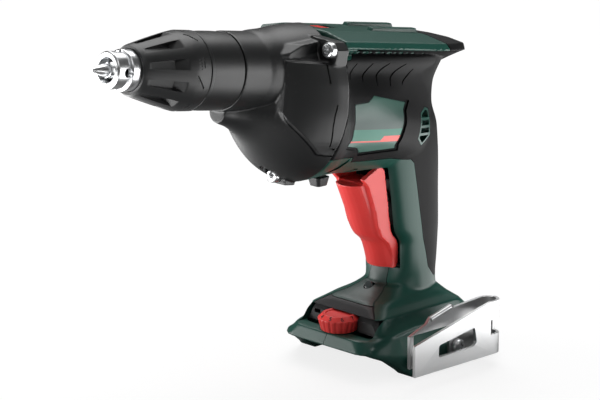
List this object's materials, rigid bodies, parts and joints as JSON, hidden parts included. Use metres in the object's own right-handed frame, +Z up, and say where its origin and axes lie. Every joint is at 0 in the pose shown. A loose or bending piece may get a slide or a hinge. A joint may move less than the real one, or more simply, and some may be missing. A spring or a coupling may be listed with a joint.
{
  "type": "cordless screwdriver",
  "caption": "Cordless drywall screwdriver, bare tool: pistol grip, depth adjusting nose with bit, trigger, speed dial, belt hook and battery bay under the foot.",
  "frame": {"origin": "middle of the flat underside of the battery terminal block under the foot, in the middle plane", "axes": "+Z up, -X towards the nose, -Y the tool's left side, which carries the belt hook; the spindle runs nose up by 8.8 degrees"},
  "size_m": [0.2193, 0.0888, 0.1759],
  "materials": {
    "green_plastic": "fine grain",
    "dark_green_plastic": "fine grain",
    "black_plastic": "fine grain",
    "dark_plastic": "plain moulded",
    "black_rubber": "soft grip",
    "red_plastic": "satin",
    "clear_plastic": "clear lens",
    "bright_steel": "brushed",
    "dark_steel": "ground and oiled",
    "magnet_steel": "ground",
    "copper_wire": "enamelled copper wire",
    "contact_brass": "plain"
  },
  "bodies": {
    "housing": {"spigot_seal_ring": "black_rubber", "gear_housing": "black_plastic", "spindle_front_bearing": "bright_steel", "spindle_rear_bearing": "bright_steel", "bearing_shield": "dark_plastic", "gear_screw_left": "bright_steel", "gear_screw_right": "bright_steel", "gear_screw_lower": "bright_steel", "stator": "dark_steel", "stator_winding": "copper_wire", "motor_front_bearing": "bright_steel", "motor_rear_bearing": "bright_steel", "housing_left": "green_plastic", "housing_right": "green_plastic", "grip_left": "black_rubber", "label_left": "green_plastic", "vent_frame_left": "green_plastic", "grip_right": "black_rubber", "label_right": "green_plastic", "vent_frame_right": "green_plastic", "rear_cap": "black_rubber", "shell_screw_1": "bright_steel", "shell_screw_2": "bright_steel", "shell_screw_3": "bright_steel", "shell_screw_4": "bright_steel", "shell_screw_5": "bright_steel", "trigger_spring": "bright_steel", "switch_body": "dark_plastic", "light_hood": "dark_green_plastic", "lamp_lens": "clear_plastic", "dial_pin": "dark_steel", "dial_liner": "dark_plastic", "terminal_block": "dark_plastic", "contact_blade_left": "contact_brass", "contact_blade_right": "contact_brass", "electronics_module": "dark_plastic", "belt_hook": "bright_steel", "hook_screw": "bright_steel"},
    "rotor_group": {"motor_shaft": "bright_steel", "motor_pinion": "dark_steel", "rotor": "magnet_steel", "cooling_fan": "black_plastic"},
    "wheel": {"driven_gear": "dark_steel", "clutch_spring": "bright_steel"},
    "spindle": {"bit_holder_spindle": "dark_steel"},
    "bit": {"screwdriver_bit": "dark_steel"},
    "nose": {"nose_carrier": "black_plastic"},
    "ring": {"depth_adjust_ring": "black_plastic"},
    "sleeve": {"depth_stop_sleeve": "bright_steel"},
    "trigger": {"trigger": "red_plastic"},
    "direction": {"direction_lever": "dark_plastic"},
    "dial": {"speed_dial": "red_plastic"},
    "slider": {"top_slider": "red_plastic"}
  },
  "joints": [
    {"name": "motor_spin", "type": "hinge", "parent": "housing", "child": "rotor_group", "pos_m": [-0.05434, 0, 0.11293], "axis": [0.9882, 0, -0.153], "continuous": true},
    {"name": "gear_spin", "type": "hinge", "parent": "housing", "child": "wheel", "pos_m": [-0.0881, 0, 0.13677], "axis": [0.9882, 0, -0.153], "continuous": true},
    {"name": "spindle_slide", "type": "slide", "parent": "wheel", "child": "spindle", "axis": [0.9882, 0, -0.153], "range_m": [0, 0.0025], "stiffness_N_per_m": 1500, "springref_m": -0.004, "deforming": ["clutch_spring"]},
    {"name": "bit_pull", "type": "slide", "parent": "spindle", "child": "bit", "axis": [-0.9882, 0, 0.153], "range_m": [0, 0.02]},
    {"name": "nose_pull", "type": "slide", "parent": "housing", "child": "nose", "axis": [-0.9882, 0, 0.153], "range_m": [0, 0.05]},
    {"name": "ring_turn", "type": "hinge", "parent": "nose", "child": "ring", "pos_m": [-0.16814, 0, 0.14916], "axis": [0.9882, 0, -0.153], "range_deg": [-360, 360]},
    {"name": "sleeve_slide", "type": "slide", "parent": "nose", "child": "sleeve", "axis": [0.9882, 0, -0.153], "range_m": [-0.0041, 0.0041]},
    {"name": "trigger_slide", "type": "slide", "parent": "housing", "child": "trigger", "axis": [1, 0, 0], "range_m": [0, 0.005], "stiffness_N_per_m": 900, "springref_m": -0.003, "deforming": ["trigger_spring"]},
    {"name": "direction_turn", "type": "hinge", "parent": "housing", "child": "direction", "pos_m": [-0.053, 0, 0.083], "axis": [0, 0, 1], "range_deg": [-12, 12]},
    {"name": "dial_turn", "type": "hinge", "parent": "housing", "child": "dial", "pos_m": [-0.0392, 0, 0.008], "axis": [0, 0, 1], "range_deg": [-135, 135]},
    {"name": "top_slide", "type": "slide", "parent": "housing", "child": "slider", "axis": [0.9882, 0, -0.153], "range_m": [0, 0.005]}
  ],
  "couplings": [
    {"joint": "gear_spin", "follows": "motor_spin", "ratio": -0.24324},
    {"joint": "sleeve_slide", "follows": "ring_turn", "m_per_rad": 0.0006366}
  ]
}
